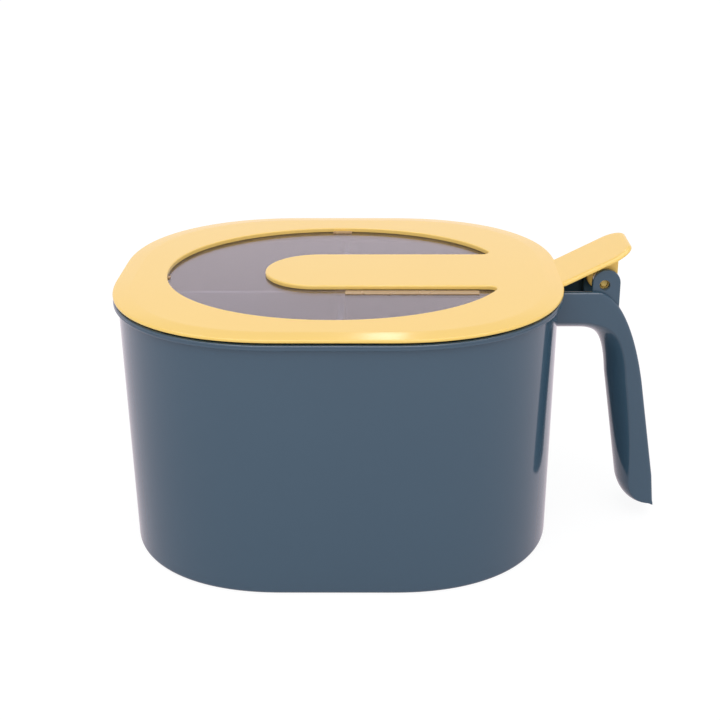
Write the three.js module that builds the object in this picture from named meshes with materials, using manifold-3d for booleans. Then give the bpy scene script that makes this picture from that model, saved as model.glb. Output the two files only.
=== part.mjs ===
// A four-cell spice box with a side handle and a hinged lid, in millimetres.
// The origin is the centre of the underside, +X points to the handle and +Z is up.
import * as THREE from 'three';
import { mergeVertices } from 'three/addons/utils/BufferGeometryUtils.js';
import Module from 'manifold-3d';

const wasm = await Module();
wasm.setup();

// Box body
const bodyLength = 166.4;
const bodyDepth = 150.4;
const bodyCornerRadius = 64.3;
const bodyHeight = 99.8;
const lengthDraft = 1.4;
const depthDraft = 3.4;
const cornerDraft = 2.5;
const bodyWall = 2.2;
const bodyFloor = 2.4;
const footFillet = 1.4;
const rimOverhang = 1.8;
const rimThickness = 2.3;
const rimFillet = 0.7;
const cornerExponent = 2.2;

// Lid frame
const lidSeatGap = 0.6;
const lidThickness = 1.8;
const crownWidth = 6.5;
const crownDrop = 0.7;
const frontRingWidth = 18.3;
const hingeRingWidth = 20.3;
const sideRingWidth = 19;
const windowExponent = 2.05;
const windowEdgeThickness = 1.55;
const tongueWidth = 40;
const tongueLength = 93;
const tongueThickness = 1.1;
const tongueDroop = 0.45;
const skirtClearance = 0.6;
const skirtWall = 1.5;
const skirtDepth = 3.4;
const seatRibWidth = 1.2;
const seatRibDepth = 1.5;

// Thumb lever and knuckle on the lid
const leverWidth = 31.8;
const leverLength = 29.2;
const leverThickness = 1.8;
const leverTilt = THREE.MathUtils.degToRad(26.5);
const leverCornerRadius = 8;
const leverRootInset = 0.5;
const leverRootDrop = 0.7;
const cheekThickness = 2.4;
const cheekRadius = 5.2;
const cheekTopSlant = 2.8;

// Hinge, placed from the lid's edge and the body's top
const pinRadius = 1.4;
const pinEndInset = 0.8;
const pinOutset = 16.1;
const pinRise = 0.1;
const cheekBoreClearance = 0.3;
const lugBoreClearance = 0.5;
const cheekSideGap = 0.4;

// Handle, with reaches out from the lid's edge and drops below the arm's top
const handleWidth = 30;
const handleWall = 2.7;
const handleWeb = 2.4;
const webBulge = 5.3;
const webBulgeAtTip = 2.8;
const armDrop = 2.2;
const armHeight = 16.8;
const armTopReach = 10.5;
const armUndersideReach = 7.5;
const channelStartGap = 0.6;
const shoulderLead = 10;
const backReach = 31.5;
const backDrop = 32.7;
const backLead = 21.5;
const tipReach = 40.7;
const tipDrop = 90;
const bendLead = 8;
const gripReach = 21;
const gripDrop = 37.8;
const gripLead = 14.5;
const endSpan = 14;
const endRise = 6.9;
const endLead = 6;
const lipReach = 0.3;
const lipDrop = 3.3;
const lipLead = 8;
const lugHalfWidth = 5.35;
const lugCrownReach = 0.65;
const lugThickness = 2.6;
const lugInset = 2;
const lugCrownRise = 0.7;
const lugRootDepth = 8;

// Clear window plate
const plateThickness = 1.6;
const plateSeatMargin = 4.2;
const plateSeatGap = 0.3;
const plateEdgeGap = 0.4;
const railWidth = 1.1;
const railHeight = 1.1;
const railGap = 0.4;
const railTipGap = 31.3;
const railRootGap = 11.7;
const tabWidth = 3.2;
const tabDepth = 1;
const tabHeight = 1;
const tabWallGap = 0.3;

// Four-cell liner
const linerClearance = 0.4;
const linerFloorGap = 0.3;
const linerTopDrop = 8;
const linerWall = 1.6;
const linerFloor = 1.6;
const dividerThickness = 1.8;
const dividerOffset = 0.8;

// Spoons, as long as their cell leaves room for
const spoonBowlLength = 26;
const spoonBowlWidth = 20;
const spoonBowlDepth = 7;
const spoonWall = 1.4;
const spoonHandleWidth = 6;
const spoonFloorGap = 0.3;
const spoonStemGap = 5;
const spoonBowlGap = 8.6;
const spoonDividerGap = 9.1;
const spoonFootShare = 0.3;

const cutOverrun = 5;
const cornerSteps = 11;
const windowSteps = 60;
const roundSteps = 3;
const curveSteps = 7;
const bulgeSteps = 10;
const crownSteps = 12;
const pinSides = 24;
const spoonSides = 24;
const spoonRings = 4;
const cornerLimitShare = 0.98;

const boxPlastic = new THREE.MeshStandardMaterial({ color: 0x4f6170, roughness: 0.25, metalness: 0 });
const lidPlastic = new THREE.MeshStandardMaterial({ color: 0xfbd98c, roughness: 0.35, metalness: 0 });
const clearPlastic = new THREE.MeshStandardMaterial({
  color: 0xd9dce0, roughness: 0.08, metalness: 0, transparent: true, opacity: 0.35,
});

// Levels worked out from the sizes above
const rimTop = bodyHeight;
const rimBottom = rimTop - rimThickness;
const lidBottom = rimTop + lidSeatGap;
const lidTop = lidBottom + lidThickness;
const lidLength = bodyLength + 2 * rimOverhang;
const lidDepth = bodyDepth + 2 * rimOverhang;
const lidCornerRadius = bodyCornerRadius + rimOverhang;
const lidEdgeX = lidLength / 2;
const windowLength = lidLength - frontRingWidth - hingeRingWidth;
const windowDepth = lidDepth - 2 * sideRingWidth;
const windowCentreX = (frontRingWidth - hingeRingWidth) / 2;
const windowHingeEndX = windowCentreX + windowLength / 2;
const tongueCentreX = windowHingeEndX - tongueLength + tongueWidth / 2;
const windowUnderside = lidTop - windowEdgeThickness;
const plateTop = windowUnderside - plateSeatGap;
const leverRootX = lidEdgeX - leverRootInset;
const leverRootZ = lidTop - leverRootDrop;
const pinX = lidEdgeX + pinOutset;
const pinHeight = rimTop + pinRise;
const lugOuterY = handleWidth / 2 - lugInset;
const lugInnerY = lugOuterY - lugThickness;
const cheekOuterY = lugInnerY - cheekSideGap;
const armTop = rimTop - armDrop;
const armUnderside = armTop - armHeight;
const backTop = new THREE.Vector2(lidEdgeX + backReach, armTop - backDrop);
const tip = new THREE.Vector2(lidEdgeX + tipReach, armTop - tipDrop);
const gripTop = new THREE.Vector2(lidEdgeX + gripReach, armTop - gripDrop);
const gripEnd = new THREE.Vector2(tip.x - endSpan, tip.y + endRise);
const lip = new THREE.Vector2(tip.x + lipReach, tip.y - lipDrop);
const linerBottom = bodyFloor + linerFloorGap;
const linerTop = rimTop - linerTopDrop;
const cellFloor = linerBottom + linerFloor;
const cellInset = bodyWall + linerClearance + linerWall;

// Outline of a rounded rectangle whose corners are quarter superellipses, counter-clockwise.
function roundedOutline(length, depth, wantedRadius) {
  const radius = Math.min(wantedRadius, cornerLimitShare * Math.min(length, depth) / 2);
  const points = [];
  for (let corner = 0; corner < 4; corner++) {
    const centreX = (corner === 0 || corner === 3 ? 1 : -1) * (length / 2 - radius);
    const centreY = (corner < 2 ? 1 : -1) * (depth / 2 - radius);
    for (let step = 0; step <= cornerSteps; step++) {
      const angle = (corner + step / cornerSteps) * Math.PI / 2;
      points.push(superellipsePoint(radius, radius, cornerExponent, angle, centreX, centreY));
    }
  }
  return points;
}

function superellipsePoint(radiusX, radiusY, exponent, angle, centreX, centreY) {
  const cosine = Math.cos(angle);
  const sine = Math.sin(angle);
  const power = 2 / exponent;
  return new THREE.Vector2(
    centreX + radiusX * Math.sign(cosine) * Math.abs(cosine) ** power,
    centreY + radiusY * Math.sign(sine) * Math.abs(sine) ** power,
  );
}

// Outline of the oval window, grown by a margin.
function windowOutline(margin) {
  return Array.from({ length: windowSteps }, (_, step) => superellipsePoint(
    windowLength / 2 + margin, windowDepth / 2 + margin, windowExponent,
    step / windowSteps * 2 * Math.PI, windowCentreX, 0,
  ));
}

// Body outline at a height, drawn in by the draft below the rim and inset by a margin.
function bodyOutline(height, inset) {
  const share = (rimTop - height) / rimTop;
  return roundedOutline(
    bodyLength - 2 * (lengthDraft * share + inset),
    bodyDepth - 2 * (depthDraft * share + inset),
    bodyCornerRadius - cornerDraft * share - inset,
  );
}

// Closed solid through a stack of outlines with equal numbers of points.
function loft(levels) {
  const count = levels[0].outline.length;
  const positions = levels.flatMap(({ outline, height }) => outline.flatMap(({ x, y }) => [x, y, height]));
  const indices = [];
  for (let level = 0; level + 1 < levels.length; level++) {
    for (let point = 0; point < count; point++) {
      const next = (point + 1) % count;
      const low = level * count;
      const high = low + count;
      indices.push(low + point, low + next, high + next, low + point, high + next, high + point);
    }
  }
  const last = (levels.length - 1) * count;
  for (const [a, b, c] of THREE.ShapeUtils.triangulateShape(levels[0].outline, [])) {
    indices.push(c, b, a);
  }
  for (const [a, b, c] of THREE.ShapeUtils.triangulateShape(levels.at(-1).outline, [])) {
    indices.push(last + a, last + b, last + c);
  }
  const geometry = new THREE.BufferGeometry();
  geometry.setAttribute('position', new THREE.Float32BufferAttribute(positions, 3));
  geometry.setIndex(indices);
  return toSolid(geometry);
}

function toSolid(geometry) {
  geometry.deleteAttribute('normal');
  geometry.deleteAttribute('uv');
  const merged = mergeVertices(geometry);
  return new wasm.Manifold(new wasm.Mesh({
    numProp: 3,
    vertProperties: new Float32Array(merged.attributes.position.array),
    triVerts: new Uint32Array(merged.index.array),
  }));
}

function toMesh(name, solid, material) {
  const { vertProperties, triVerts } = solid.getMesh();
  const geometry = new THREE.BufferGeometry();
  geometry.setAttribute('position', new THREE.BufferAttribute(vertProperties, 3));
  geometry.setIndex(new THREE.BufferAttribute(triVerts, 1));
  const mesh = new THREE.Mesh(geometry, material);
  mesh.name = name;
  return mesh;
}

function prism(outline, low, high) {
  return loft([{ outline, height: low }, { outline, height: high }]);
}

// Prism standing on the XZ plane: the outline holds X and Z, and it runs between two Y places.
function uprightPrism(outline, lowY, highY) {
  return upright([{ outline, height: -highY }, { outline, height: -lowY }]);
}

function upright(levels) {
  return loft(levels).rotate([90, 0, 0]);
}

function block(lowX, highX, lowY, highY, lowZ, highZ) {
  const geometry = new THREE.BoxGeometry(highX - lowX, highY - lowY, highZ - lowZ);
  geometry.translate((lowX + highX) / 2, (lowY + highY) / 2, (lowZ + highZ) / 2);
  return toSolid(geometry);
}

// Round bar across the handle on the hinge axis.
function hingeBar(radius, halfLength) {
  const geometry = new THREE.CylinderGeometry(radius, radius, 2 * halfLength, pinSides);
  geometry.translate(pinX, 0, pinHeight);
  return toSolid(geometry);
}

// Levels that round an edge off between a side and a flat end, by a quarter ellipse.
function roundedEdge(outlineAt, width, drop, endHeight, direction) {
  const steps = Array.from({ length: roundSteps + 1 }, (_, step) => {
    const angle = step / roundSteps * Math.PI / 2;
    const height = endHeight - direction * drop * (1 - Math.sin(angle));
    return { outline: outlineAt(height, width * (1 - Math.cos(angle))), height };
  });
  return direction > 0 ? steps : steps.reverse();
}

// Curves of the handle in the XZ plane, from the body to the tip
function rimCurve(startX) {
  const shoulder = new THREE.CubicBezierCurve(
    new THREE.Vector2(lidEdgeX + armTopReach, armTop),
    new THREE.Vector2(lidEdgeX + armTopReach + shoulderLead, armTop),
    backTop.clone().addScaledVector(direction(backTop, tip), -backLead),
    backTop,
  );
  return [new THREE.Vector2(startX, armTop), ...shoulder.getPoints(curveSteps), tip];
}

function direction(from, to) {
  return to.clone().sub(from).normalize();
}

function crestCurve(startX) {
  const down = direction(gripTop, gripEnd);
  const bend = new THREE.CubicBezierCurve(
    new THREE.Vector2(lidEdgeX + armUndersideReach, armUnderside),
    new THREE.Vector2(lidEdgeX + armUndersideReach + bendLead, armUnderside),
    gripTop.clone().addScaledVector(down, -gripLead),
    gripTop,
  );
  const end = new THREE.CubicBezierCurve(
    gripEnd,
    gripEnd.clone().addScaledVector(down, endLead),
    new THREE.Vector2(lip.x - lipLead, lip.y),
    lip,
  );
  return [
    new THREE.Vector2(startX, armUnderside),
    ...bend.getPoints(curveSteps),
    ...end.getPoints(curveSteps),
  ];
}

// Each crest point moved towards the rim, square to the curve.
function movedInwards(points, distanceAt) {
  return points.map((point, index) => {
    const before = points[Math.max(index - 1, 0)];
    const after = points[Math.min(index + 1, points.length - 1)];
    const along = direction(before, after);
    return new THREE.Vector2(-along.y, along.x).multiplyScalar(distanceAt(index)).add(point);
  });
}

// A handle form between the open rim and a web that bulges between the sides.
function handleForm(startX, halfWidth, webInset, rimLift) {
  const rim = rimCurve(startX).map((point, index) => new THREE.Vector2(
    point.x + (index > 0 ? rimLift : 0), point.y + rimLift,
  ));
  const crest = movedInwards(crestCurve(startX), () => webInset);
  const endPoints = curveSteps;
  const straight = crest.length - 1 - endPoints;
  const sideBoundary = movedInwards(crest, (index) => {
    const share = Math.max(index - straight, 0) / endPoints;
    return webBulge + (webBulgeAtTip - webBulge) * share;
  });
  crest[0].x = startX;
  sideBoundary[0].x = startX;
  const levels = Array.from({ length: bulgeSteps + 1 }, (_, step) => {
    const angle = step / bulgeSteps * Math.PI;
    const web = crest.map((point, index) => sideBoundary[index].clone().lerp(point, Math.sin(angle)));
    return { outline: [...web, ...rim.toReversed()], height: -halfWidth * Math.cos(angle) };
  });
  return upright(levels);
}

function lug() {
  const crownX = pinX + lugCrownReach;
  const crownZ = pinHeight + lugCrownRise;
  const crown = Array.from({ length: crownSteps + 1 }, (_, step) => {
    const angle = step / crownSteps * Math.PI;
    return new THREE.Vector2(Math.cos(angle), Math.sin(angle)).multiplyScalar(lugHalfWidth)
      .add(new THREE.Vector2(crownX, crownZ));
  });
  const rootZ = armTop - lugRootDepth;
  return [
    new THREE.Vector2(crownX - lugHalfWidth, rootZ),
    new THREE.Vector2(crownX + lugHalfWidth, rootZ),
    ...crown,
  ];
}

function bothSides(outline, lowY, highY) {
  return uprightPrism(outline, lowY, highY).add(uprightPrism(outline, -highY, -lowY));
}

// Outline shared by the lid and the box's rim, inset by a margin.
function edgeOutline(inset) {
  return roundedOutline(lidLength - 2 * inset, lidDepth - 2 * inset, lidCornerRadius - inset);
}

function makeBox() {
  const shell = loft([
    ...roundedEdge(bodyOutline, footFillet, footFillet, 0, -1),
    { outline: bodyOutline(rimBottom, 0), height: rimBottom },
    { outline: bodyOutline(rimTop, 0), height: rimTop },
  ]);
  const rimOutline = (_, inset) => edgeOutline(inset);
  const rim = loft([
    ...roundedEdge(rimOutline, rimFillet, rimFillet, rimBottom, -1),
    ...roundedEdge(rimOutline, rimFillet, rimFillet, rimTop, 1),
  ]);
  const cavity = loft([
    { outline: bodyOutline(bodyFloor, bodyWall), height: bodyFloor },
    { outline: bodyOutline(rimTop + cutOverrun, bodyWall), height: rimTop + cutOverrun },
  ]);
  const handle = handleForm(bodyLength / 2 - bodyWall / 2, handleWidth / 2, 0, 0)
    .subtract(handleForm(lidEdgeX + channelStartGap, handleWidth / 2 - handleWall, handleWeb, cutOverrun))
    .add(bothSides(lug(), lugInnerY, lugOuterY))
    .subtract(hingeBar(pinRadius + lugBoreClearance, handleWidth));
  return toMesh('outer_box', shell.add(rim).subtract(cavity).add(handle), boxPlastic);
}

function makeLiner() {
  const bodyInset = bodyWall + linerClearance;
  const outer = loft([
    { outline: bodyOutline(linerBottom, bodyInset), height: linerBottom },
    { outline: bodyOutline(linerTop, bodyInset), height: linerTop },
  ]);
  const roomTop = linerTop + cutOverrun;
  const room = loft([
    { outline: bodyOutline(cellFloor, cellInset), height: cellFloor },
    { outline: bodyOutline(roomTop, cellInset), height: roomTop },
  ]);
  const half = dividerThickness / 2;
  const dividers = block(-bodyLength, bodyLength, -half, half, 0, linerTop)
    .add(block(dividerOffset - half, dividerOffset + half, -bodyDepth, bodyDepth, 0, linerTop));
  return toMesh('four_cell_liner', outer.subtract(room.subtract(dividers)), boxPlastic);
}

function makeLidFrame() {
  const slab = loft([
    { outline: edgeOutline(0), height: lidBottom },
    ...roundedEdge((_, inset) => edgeOutline(inset), crownWidth, crownDrop, lidTop, 1),
  ]);
  const opening = prism(windowOutline(0), lidBottom - cutOverrun, lidTop + cutOverrun);
  const rebate = prism(windowOutline(plateSeatMargin), lidBottom - cutOverrun, windowUnderside);
  const ribBottom = lidBottom - seatRibDepth;
  const seatRib = prism(windowOutline(plateSeatMargin + seatRibWidth), ribBottom, windowUnderside)
    .subtract(prism(windowOutline(plateSeatMargin), ribBottom - cutOverrun, lidTop));
  const skirtOuter = bodyWall + skirtClearance;
  const skirtBottom = lidBottom - skirtDepth;
  const skirtRoom = prism(bodyOutline(rimTop, skirtOuter + skirtWall), skirtBottom - cutOverrun, lidTop);
  const skirt = prism(bodyOutline(rimTop, skirtOuter), skirtBottom, lidTop - crownDrop)
    .subtract(skirtRoom);
  const underLid = block(-bodyLength, lidLength, -bodyDepth, bodyDepth, lidBottom - cutOverrun, lidBottom);
  const frame = slab.subtract(opening).subtract(rebate)
    .add(makeTongue())
    .add(seatRib)
    .add(makeLever().subtract(underLid))
    .add(skirt)
    .add(bothSides(cheekOutline(), cheekOuterY - cheekThickness, cheekOuterY))
    .subtract(hingeBar(pinRadius + cheekBoreClearance, handleWidth));
  return toMesh('lid_frame', frame, lidPlastic);
}

// Tongue over the window, which droops a little from its root to its round tip.
function makeTongue() {
  const radius = tongueWidth / 2;
  const rootX = windowHingeEndX + hingeRingWidth / 2;
  const tipCentreX = tongueCentreX - rootX;
  const round = Array.from({ length: 2 * cornerSteps + 1 }, (_, step) => {
    const angle = Math.PI / 2 + step / (2 * cornerSteps) * Math.PI;
    return new THREE.Vector2(tipCentreX + radius * Math.cos(angle), radius * Math.sin(angle));
  });
  const outline = [new THREE.Vector2(0, -radius), new THREE.Vector2(0, radius), ...round];
  const droop = THREE.MathUtils.radToDeg(Math.asin(tongueDroop / (tongueLength + hingeRingWidth / 2)));
  return prism(outline, -tongueThickness, 0)
    .rotate([0, -droop, 0])
    .translate([rootX, 0, lidTop]);
}

function makeLever() {
  const shape = new THREE.Shape();
  const half = leverWidth / 2;
  const straight = leverLength - leverCornerRadius;
  shape.moveTo(-leverRootInset, -half);
  shape.lineTo(straight, -half);
  shape.absarc(straight, leverCornerRadius - half, leverCornerRadius, -Math.PI / 2, 0);
  shape.absarc(straight, half - leverCornerRadius, leverCornerRadius, 0, Math.PI / 2);
  shape.lineTo(-leverRootInset, half);
  const geometry = new THREE.ExtrudeGeometry(shape, {
    depth: leverThickness, bevelEnabled: false, curveSegments: 2 * roundSteps,
  });
  geometry.translate(0, 0, -leverThickness);
  geometry.rotateY(-leverTilt);
  geometry.translate(leverRootX, 0, leverRootZ);
  return toSolid(geometry);
}

// Cheek that hangs from the lever and turns on the pin.
function cheekOutline() {
  const leverMiddle = (x) => leverRootZ + (x - leverRootX) * Math.tan(leverTilt)
    - leverThickness / 2 / Math.cos(leverTilt);
  const topX = pinX - cheekRadius + cheekTopSlant;
  const barrel = Array.from({ length: 2 * curveSteps + 1 }, (_, step) => {
    const angle = -step / (2 * curveSteps) * Math.PI;
    return new THREE.Vector2(Math.cos(angle), Math.sin(angle)).multiplyScalar(cheekRadius)
      .add(new THREE.Vector2(pinX, pinHeight));
  });
  return [
    new THREE.Vector2(pinX + cheekRadius, leverMiddle(pinX + cheekRadius)),
    new THREE.Vector2(topX, leverMiddle(topX)),
    ...barrel.toReversed(),
  ];
}

function makeWindowPlate() {
  const plate = prism(windowOutline(plateSeatMargin - plateEdgeGap), plateTop - plateThickness, plateTop);
  const railY = tongueWidth / 2 + railGap;
  const bottom = plateTop - plateThickness / 2;
  const railTop = plateTop + railHeight;
  const tabTop = plateTop + tabHeight;
  const sideY = windowDepth / 2 - tabWallGap;
  const frontX = windowCentreX - windowLength / 2 + tabWallGap;
  const tabX = windowCentreX;
  const halfTab = tabWidth / 2;
  const railStartX = tongueCentreX - tongueWidth / 2 + railTipGap;
  const railEndX = windowHingeEndX - railRootGap;
  const solid = plate
    .add(block(railStartX, railEndX, railY, railY + railWidth, bottom, railTop))
    .add(block(railStartX, railEndX, -railY - railWidth, -railY, bottom, railTop))
    .add(block(tabX - halfTab, tabX + halfTab, sideY - tabDepth, sideY, bottom, tabTop))
    .add(block(tabX - halfTab, tabX + halfTab, -sideY, tabDepth - sideY, bottom, tabTop))
    .add(block(frontX, frontX + tabDepth, -halfTab, halfTab, bottom, tabTop));
  return toMesh('window_plate', solid, clearPlastic);
}

function makePin() {
  return toMesh('hinge_pin', hingeBar(pinRadius, lugOuterY - pinEndInset), lidPlastic);
}

// Oval bowl with a flat foot and a straight handle, lying on the floor of its cell.
function makeSpoon(name, signX, signY) {
  const stemStart = dividerThickness / 2 + signX * dividerOffset + spoonStemGap;
  const bowlEnd = bodyLength / 2 - lengthDraft - cellInset - spoonBowlGap;
  const centre = new THREE.Vector2(
    bowlEnd - spoonBowlLength / 2, dividerThickness / 2 + spoonDividerGap + spoonBowlWidth / 2,
  );
  const bowlOutline = (size) => Array.from({ length: spoonSides }, (_, side) => {
    const angle = side / spoonSides * 2 * Math.PI;
    return new THREE.Vector2(size.x * Math.cos(angle), size.y * Math.sin(angle)).add(centre);
  });
  const bottom = cellFloor + spoonFloorGap;
  const top = bottom + spoonBowlDepth;
  const bowl = (inset, rim) => loft(Array.from({ length: spoonRings + 1 }, (_, ring) => {
    const angle = ring / spoonRings * Math.PI / 2;
    const spread = spoonFootShare + (1 - spoonFootShare) * Math.sin(angle);
    const size = new THREE.Vector2(spoonBowlLength / 2 - inset, spoonBowlWidth / 2 - inset);
    const low = bottom + inset;
    return {
      outline: bowlOutline(size.multiplyScalar(spread)),
      height: low + (rim - low) * (1 - Math.cos(angle)),
    };
  }));
  const stem = block(
    stemStart, bowlEnd - spoonBowlLength + spoonWall,
    centre.y - spoonHandleWidth / 2, centre.y + spoonHandleWidth / 2,
    top - spoonWall, top,
  );
  const solid = bowl(0, top).add(stem).subtract(bowl(spoonWall, top + spoonWall));
  const placed = signX * signY < 0 ? solid.mirror([1, 0, 0]) : solid;
  return toMesh(name, placed.rotate([0, 0, signY < 0 ? 180 : 0]), lidPlastic);
}

const group = new THREE.Group();
group.add(makeBox());
group.add(makeLiner());
group.add(makeLidFrame());
group.add(makeWindowPlate());
group.add(makePin());
group.add(makeSpoon('spoon_back_right', 1, 1));
group.add(makeSpoon('spoon_back_left', -1, 1));
group.add(makeSpoon('spoon_front_left', -1, -1));
group.add(makeSpoon('spoon_front_right', 1, -1));

export default group;
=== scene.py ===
import math

import bmesh
import bpy
from mathutils import Matrix, Vector


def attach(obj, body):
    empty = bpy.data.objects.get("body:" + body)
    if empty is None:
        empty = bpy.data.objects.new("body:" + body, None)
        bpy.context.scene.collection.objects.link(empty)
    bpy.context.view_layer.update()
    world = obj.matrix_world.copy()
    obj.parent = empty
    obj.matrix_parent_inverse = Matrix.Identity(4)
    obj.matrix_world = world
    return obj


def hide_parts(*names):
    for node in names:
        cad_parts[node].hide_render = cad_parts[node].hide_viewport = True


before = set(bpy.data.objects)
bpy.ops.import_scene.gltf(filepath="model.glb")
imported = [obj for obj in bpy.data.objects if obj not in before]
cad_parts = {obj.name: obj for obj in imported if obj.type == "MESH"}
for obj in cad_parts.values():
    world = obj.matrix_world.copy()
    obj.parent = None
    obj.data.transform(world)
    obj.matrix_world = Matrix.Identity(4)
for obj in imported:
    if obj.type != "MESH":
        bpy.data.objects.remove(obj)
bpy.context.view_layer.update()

mm = 0.001
scene = bpy.context.scene


cameraSetup = {
    "place": (19.36, -492.38, 258.48),  # millimetres
    "pitch": 68.45,                     # degrees up from straight down
    "turn": 0.1,
    "lens": 66.21,
    "shiftX": -0.0389,
    "shiftY": 0.0005,
}

cameraData = bpy.data.cameras.new("studio camera")
cameraData.sensor_width = 36
cameraData.lens = cameraSetup["lens"]
cameraData.shift_x = cameraSetup["shiftX"]
cameraData.shift_y = cameraSetup["shiftY"]
cameraData.clip_start = 0.02
camera = bpy.data.objects.new("studio camera", cameraData)
camera.location = Vector(cameraSetup["place"]) * mm
camera.rotation_euler = (math.radians(cameraSetup["pitch"]), 0, math.radians(cameraSetup["turn"]))
scene.collection.objects.link(camera)
scene.camera = camera
print("camera set")


def hexColour(text):
    channels = [int(text[i:i + 2], 16) / 255 for i in (1, 3, 5)]
    return tuple(c / 12.92 if c <= 0.04045 else ((c + 0.055) / 1.055) ** 2.4 for c in channels) + (1,)


# A value whose name starts small is a setting of the node, and any other is one of its sockets
def addNode(tree, kind, values=None, links=None):
    node = tree.nodes.new(kind)
    for name, value in (values or {}).items():
        if isinstance(name, str) and name[0].islower():
            setattr(node, name, value)
        else:
            node.inputs[name].default_value = value
    for name, source in (links or {}).items():
        tree.links.new(source, node.inputs[name])
    return node


def newMaterial(name):
    material = bpy.data.materials.new(name)
    material.use_nodes = True
    material.node_tree.nodes.clear()
    return material, material.node_tree


# Moulded polypropylene: a smooth gloss skin with faint flow clouds and the fine ripple that a mould leaves
def polypropylene(name, finish):
    material, tree = newMaterial(name)
    coords = addNode(tree, "ShaderNodeTexCoord").outputs["Object"]
    clouds = addNode(tree, "ShaderNodeTexNoise",
                     {"Scale": 1 / (finish["cloudSize"] * mm), "Detail": 3, "Roughness": 0.55},
                     {"Vector": coords})
    # sockets 0, 6 and 7 of a colour mix are its factor and its two colours
    tone = addNode(tree, "ShaderNodeMix", {"data_type": "RGBA", 6: hexColour(finish["colour"]),
                                           7: hexColour(finish["cloudColour"])},
                   {0: clouds.outputs["Fac"]})
    gloss = addNode(tree, "ShaderNodeMapRange", {"From Min": 0.3, "From Max": 0.7,
                                                 "To Min": finish["roughness"] - finish["roughnessSpread"],
                                                 "To Max": finish["roughness"] + finish["roughnessSpread"]},
                    {"Value": clouds.outputs["Fac"]})
    ripple = addNode(tree, "ShaderNodeTexNoise",
                     {"Scale": 1 / (finish["rippleSize"] * mm), "Detail": 2}, {"Vector": coords})
    skin = addNode(tree, "ShaderNodeBump",
                   {"Strength": finish["rippleStrength"], "Distance": finish["rippleDepth"] * mm},
                   {"Height": ripple.outputs["Fac"]})
    plastic = addNode(tree, "ShaderNodeBsdfPrincipled",
                      {"IOR": finish["ior"], "Specular IOR Level": finish["gloss"]},
                      {"Base Color": tone.outputs[2], "Roughness": gloss.outputs["Result"],
                       "Normal": skin.outputs["Normal"]})
    addNode(tree, "ShaderNodeOutputMaterial", links={"Surface": plastic.outputs["BSDF"]})
    return material


# Slate-blue polypropylene of the box and liner, injection moulded: deep gloss that mirrors the studio
boxFinish = {"colour": "#3f596c", "cloudColour": "#3d5669", "cloudSize": 60,
             "roughness": 0.09, "roughnessSpread": 0.015, "ior": 1.49, "gloss": 0.5,
             "rippleSize": 7, "rippleStrength": 0.1, "rippleDepth": 0.04}
# Yellow polypropylene of the lid, pin and spoons, injection moulded: the same skin with a softer gloss
lidFinish = {"colour": "#fed87a", "cloudColour": "#fcd476", "cloudSize": 50,
             "roughness": 0.14, "roughnessSpread": 0.02, "ior": 1.49, "gloss": 0.26,
             "rippleSize": 6, "rippleStrength": 0.1, "rippleDepth": 0.04}
slatePlastic = polypropylene("slate moulded polypropylene", boxFinish)
yellowPlastic = polypropylene("yellow moulded polypropylene", lidFinish)


# Clear styrene acrylonitrile, injection moulded: glassy, with a trace of haze from handling
def clearStyrene(name, finish):
    material, tree = newMaterial(name)
    coords = addNode(tree, "ShaderNodeTexCoord").outputs["Object"]
    smudge = addNode(tree, "ShaderNodeTexNoise",
                     {"Scale": 1 / (finish["smudgeSize"] * mm), "Detail": 4}, {"Vector": coords})
    gloss = addNode(tree, "ShaderNodeMapRange", {"From Min": 0.35, "From Max": 0.7,
                                                 "To Min": finish["roughness"],
                                                 "To Max": finish["smudgeRoughness"]},
                    {"Value": smudge.outputs["Fac"]})
    clear = addNode(tree, "ShaderNodeBsdfPrincipled",
                    {"Base Color": hexColour(finish["colour"]), "Transmission Weight": 1,
                     "IOR": finish["ior"]},
                    {"Roughness": gloss.outputs["Result"]})
    haze = addNode(tree, "ShaderNodeBsdfDiffuse", {"Color": hexColour(finish["hazeColour"])})
    body = addNode(tree, "ShaderNodeMixShader", {0: finish["haze"]},
                   {1: clear.outputs["BSDF"], 2: haze.outputs["BSDF"]})
    path = addNode(tree, "ShaderNodeLightPath")        # light that casts shadows goes straight through
    through = addNode(tree, "ShaderNodeBsdfTransparent", {"Color": hexColour(finish["colour"])})
    pane = addNode(tree, "ShaderNodeMixShader", links={0: path.outputs["Is Shadow Ray"],
                                                       1: body.outputs["Shader"], 2: through.outputs["BSDF"]})
    addNode(tree, "ShaderNodeOutputMaterial", links={"Surface": pane.outputs["Shader"]})
    return material


clearFinish = {"colour": "#efe1e9", "hazeColour": "#eee2e8", "haze": 0.02, "ior": 1.49,
               "roughness": 0.02, "smudgeRoughness": 0.05, "smudgeSize": 18}
clearPlastic = clearStyrene("clear styrene acrylonitrile", clearFinish)
# The rail and tabs of the same plastic, matt; their warm haze colour is painted reflection of the yellow
# tongue
mattFinishPaintedReflection = {"colour": "#f4e2ca", "hazeColour": "#f4ce9c", "haze": 0.45, "ior": 1.49,
              "roughness": 0.15, "smudgeRoughness": 0.35, "smudgeSize": 18}
mattClearPaintedReflection = clearStyrene("matt styrene acrylonitrile, painted reflection", mattFinishPaintedReflection)
print("materials made")


# Pieces are made in millimetres, as closed rings of points that are extruded one into the next
def edgesOf(mesh, ring):
    return [mesh.edges.get((ring[i - 1], ring[i])) for i in range(len(ring))]


def firstRing(mesh, points):
    ring = bmesh.ops.create_circle(mesh, segments=len(points), radius=1)["verts"]
    for vert, point in zip(ring, points):
        vert.co = point
    return ring


def nextRing(mesh, ring, points):
    made = bmesh.ops.extrude_edge_only(mesh, edges=edgesOf(mesh, ring))["geom"]
    fresh = {item for item in made if isinstance(item, bmesh.types.BMVert)}
    grown = [next(edge.other_vert(vert) for edge in vert.link_edges if edge.other_vert(vert) in fresh)
             for vert in ring]
    for vert, point in zip(grown, points):
        vert.co = point
    return grown


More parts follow.
